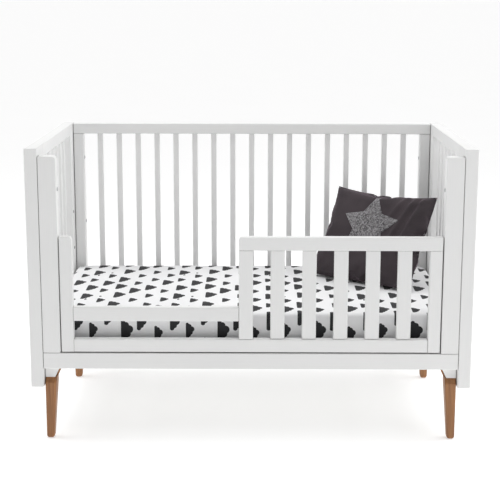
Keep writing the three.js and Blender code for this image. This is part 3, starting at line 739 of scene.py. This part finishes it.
def star_piece(cushion, middle, tip, notch, turn):
    """A star laid on the cushion's front, following it, as rings from its middle outwards."""
    surface = BVHTree.FromObject(cushion, bpy.context.evaluated_depsgraph_get())
    rings, per_edge = 16, 9
    spokes = []
    for k in range(10):
        ends = []
        for m in (k, k + 1):
            radius = tip if m % 2 == 0 else notch
            angle = math.radians(turn + 36 * m)
            ends.append(Vector((radius * math.cos(angle), radius * math.sin(angle))))
        spokes += [ends[0].lerp(ends[1], i / per_edge) for i in range(per_edge)]
    points, uvs_at, faces, uvs = [], [], [], []
    heights = [0.0022] * (rings - 1) + [0.0018, 0.0003]
    for ring, height in enumerate(heights):
        share = min(1.0, ring / (rings - 1)) + (0.006 if ring == rings else 0)
        for spoke in (spokes[:1] if ring == 0 else spokes):
            x, z = middle[0] + spoke.x * share, middle[1] + spoke.y * share
            hit, normal, _, _ = surface.ray_cast(Vector((x, -0.5, z)), Vector((0, 1, 0)))
            points.append(hit + normal * height)
            uvs_at.append((x, z))
    count = len(spokes)
    for i in range(count):
        faces.append((0, 1 + i, 1 + (i + 1) % count))
    for ring in range(len(heights) - 2):
        a, b = 1 + ring * count, 1 + (ring + 1) * count
        for i in range(count):
            j = (i + 1) % count
            faces.append((a + i, b + i, b + j, a + j))
    for face in faces:
        uvs += [uvs_at[p] for p in face]
    return add_mesh("cushion_star", points, faces, star_material(), uvs)


def seat(points, floor, give=0.02):
    """Presses points that come near the surface below flat against it."""
    points = np.array(points)
    depth = points[:, 2] - floor
    low = depth < give
    points[low, 2] = floor + give * np.exp(np.minimum(depth[low] / give - 1, 0))
    return points


def place_cushion():
    cushion, co, rim = cushion_points()
    cushion.data.vertices.foreach_set("co", co.astype(np.float32).ravel())
    cushion.data.update()
    bpy.context.view_layer.update()
    star = star_piece(cushion, STAR_MIDDLE, STAR_TIP, STAR_NOTCH, STAR_TURN)
    piping = tube("cushion_seam", [co[i] for i in rim], PIPING_RADIUS, cushion.data.materials[0])
    low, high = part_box("scatter_cushion")
    turn = Matrix.Rotation(CUSHION_TURN, 4, "Z") @ Matrix.Rotation(-CUSHION_LEAN, 4, "X")
    for obj in (cushion, star, piping):
        obj.data.transform(turn)
    turned = np.array([v.co for v in cushion.data.vertices])
    shift = (Vector(high) + Vector(low)) / 2 - Vector((turned.max(0) + turned.min(0)) / 2)
    shift.z = low.z - turned[:, 2].min() - CUSHION_SINK
    for obj in (cushion, star, piping):
        obj.data.transform(Matrix.Translation(shift))
        seated = seat([v.co for v in obj.data.vertices], low.z + SEAT_GAP)
        obj.data.vertices.foreach_set("co", seated.astype(np.float32).ravel())
        obj.data.update()
        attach(obj, "cushion")
    subdivide(cushion, 1)
    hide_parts("scatter_cushion")


place_cushion()


# ---------- Bolts ----------
bolt_steel = steel_material("bolt_steel")
insert_steel = blackened_material()
BOLT_SIDES, INSERT_SIDES = 24, 16
BOLT_RADIUS, BOLT_HEIGHT = 0.0068, 0.003
BRACKET_BOLT_RADIUS, BRACKET_BOLT_HEIGHT = 0.0072, 0.0022
BRACKET_LEAF = 0.003
INSERT_RADIUS, INSERT_BORE, INSERT_DEPTH = 0.0062, 0.0036, 0.014
POST_BOLTS, STILE_BOLTS = (0.820,), (0.820, 0.578)  # heights above the floor
SETTING_LOW, SETTING_PITCH, SETTING_COUNT = 0.348, 0.137, 3


def hexagon(angle):
    """A hexagon's reach at an angle, as a share of the reach at its corners."""
    return math.cos(math.pi / 6) / math.cos(angle % (math.pi / 3) - math.pi / 6)


def stacked_rings(name, rings, sides, facing, material):
    """Rings round X of (radius, distance out, hexagonal or not), skinned in order, closed by the last."""
    points, faces = [], []
    for r, out, six in rings:
        for s in range(sides):
            angle = 2 * math.pi * s / sides
            reach = r * (hexagon(angle) if six else 1)
            points.append((facing * out, reach * math.cos(angle), reach * math.sin(angle)))
    for k in range(len(rings) - 1):
        for s in range(sides):
            t = (s + 1) % sides
            a, b = k * sides, (k + 1) * sides
            quad = (a + s, a + t, b + t, b + s)
            faces.append(quad if facing > 0 else quad[::-1])
    end = tuple(range((len(rings) - 1) * sides, len(rings) * sides))
    faces.append(end if facing > 0 else end[::-1])
    return add_mesh(name, points, faces, material)


def bolt(name, place, facing, body, radius=BOLT_RADIUS, height=BOLT_HEIGHT):
    """A domed head with a hexagon socket, standing on a face that looks along +X or -X."""
    socket = 0.36 * radius
    rings = [(radius, -0.0002, 0), (radius, 0.3 * height, 0), (0.93 * radius, 0.62 * height, 0),
             (0.76 * radius, 0.9 * height, 0), (0.55 * radius, height, 0), (socket * 1.12, height, 1),
             (socket, 0.9 * height, 1), (socket, 0.25 * height, 1)]
    obj = stacked_rings(name, rings, BOLT_SIDES, facing, bolt_steel)
    obj.location = place
    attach(obj, body)


def insert(name, place, facing):
    """The insert of a setting hole, without its thread: a thin rim on the face and a bore behind it."""
    rings = ((INSERT_RADIUS, 0.00005, 0), (INSERT_RADIUS, 0.0003, 0), (INSERT_BORE, 0.0003, 0),
             (INSERT_BORE * 0.96, -0.4 * INSERT_DEPTH, 0), (INSERT_BORE, -INSERT_DEPTH, 0))
    obj = stacked_rings(name, rings, INSERT_SIDES, facing, insert_steel)
    obj.location = place
    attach(obj, "frame")


def add_inserts():
    """One in each setting hole: from the bracket's own hole up, at each end and both sides."""
    for side, facing in (("left", 1), ("right", -1)):
        for end in ("front", "rear"):
            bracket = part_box(f"{end}_{side}_support_bracket")
            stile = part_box(f"{side}_{end}_stile")
            for number in range(SETTING_COUNT):
                place = (stile[1 if facing > 0 else 0].x, (bracket[0].y + bracket[1].y) / 2,
                         SETTING_LOW + number * SETTING_PITCH)
                insert(f"setting_insert_{side}_{end}_{number}", place, facing)


def add_bolts():
    for side, facing in (("left", 1), ("right", -1)):
        edge = 1 if facing > 0 else 0
        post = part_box(side + "_front_post")
        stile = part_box(f"back_{side}_stile")
        for label, box, heights in (("post", post, POST_BOLTS), ("stile", stile, STILE_BOLTS)):
            for number, z in enumerate(heights):
                place = (box[edge].x, (box[0].y + box[1].y) / 2, z)
                bolt(f"{label}_bolt_{side}_{number}", place, facing, "frame")
        for end in ("front", "rear"):
            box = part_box(f"{end}_{side}_support_bracket")
            leaf = box[1 - edge].x + facing * BRACKET_LEAF
            place = (leaf, (box[0].y + box[1].y) / 2, SETTING_LOW)
            bolt(f"bracket_bolt_{side}_{end}", place, facing, "mattress_support",
                 BRACKET_BOLT_RADIUS, BRACKET_BOLT_HEIGHT)


add_bolts()
add_inserts()


# ---------- Stage and light ----------
FLOOR_HALF = 400.0
SKY_BAND = (("From Min", 0.02), ("From Max", 0.12), ("To Min", 1.02), ("To Max", 0.17))


def add_light(name, place, aim, size, power):
    data = bpy.data.lights.new(name, "AREA")
    data.shape, data.size, data.size_y = "RECTANGLE", *size
    data.energy = power
    light = bpy.data.objects.new(name, data)
    light.location = place
    light.rotation_euler = (Vector(aim) - Vector(place)).to_track_quat("-Z", "Y").to_euler()
    scene.collection.objects.link(light)


def studio_world():
    """Even studio light, brighter in a low band all round, where a white sweep would be."""
    world = bpy.data.worlds.new("studio")
    world.use_nodes = True
    tree = world.node_tree
    place = tree.nodes.new("ShaderNodeTexCoord")
    apart = tree.nodes.new("ShaderNodeSeparateXYZ")
    band = tree.nodes.new("ShaderNodeMapRange")
    tree.links.new(place.outputs["Generated"], apart.inputs[0])
    tree.links.new(apart.outputs["Z"], band.inputs["Value"])
    for name, value in SKY_BAND:
        band.inputs[name].default_value = value
    backdrop = tree.nodes["Background"]
    tree.links.new(band.outputs[0], backdrop.inputs["Strength"])
    backdrop.inputs["Color"].default_value = (1, 1, 1, 1)
    scene.world = world


def add_sun(strength, spread, leaning):
    data = bpy.data.lights.new("softbox_sky", "SUN")
    data.energy, data.angle = strength, math.radians(spread)
    light = bpy.data.objects.new("softbox_sky", data)
    light.rotation_euler = [math.radians(a) for a in leaning]
    scene.collection.objects.link(light)


def add_stage():
    corners = [(c * FLOOR_HALF, s * FLOOR_HALF, 0) for c, s in ((-1, -1), (1, -1), (1, 1), (-1, 1))]
    floor = add_mesh("floor", corners, [(0, 1, 2, 3)], floor_material())
    studio_world()
    add_sun(1.6, 80, (-6, 5, 0))
    add_light("key", (2.9, -2.0, 2.2), (0.2, 0, 0.5), (1.8, 1.8), 14)
    add_light("left_side", (-2.1, 0.3, 2.5), (0.4, 0.1, 0.5), (1.6, 1.6), 34)
    add_light("right_side", (2.1, 0.3, 2.5), (-0.4, 0.1, 0.5), (1.6, 1.6), 34)


add_stage()
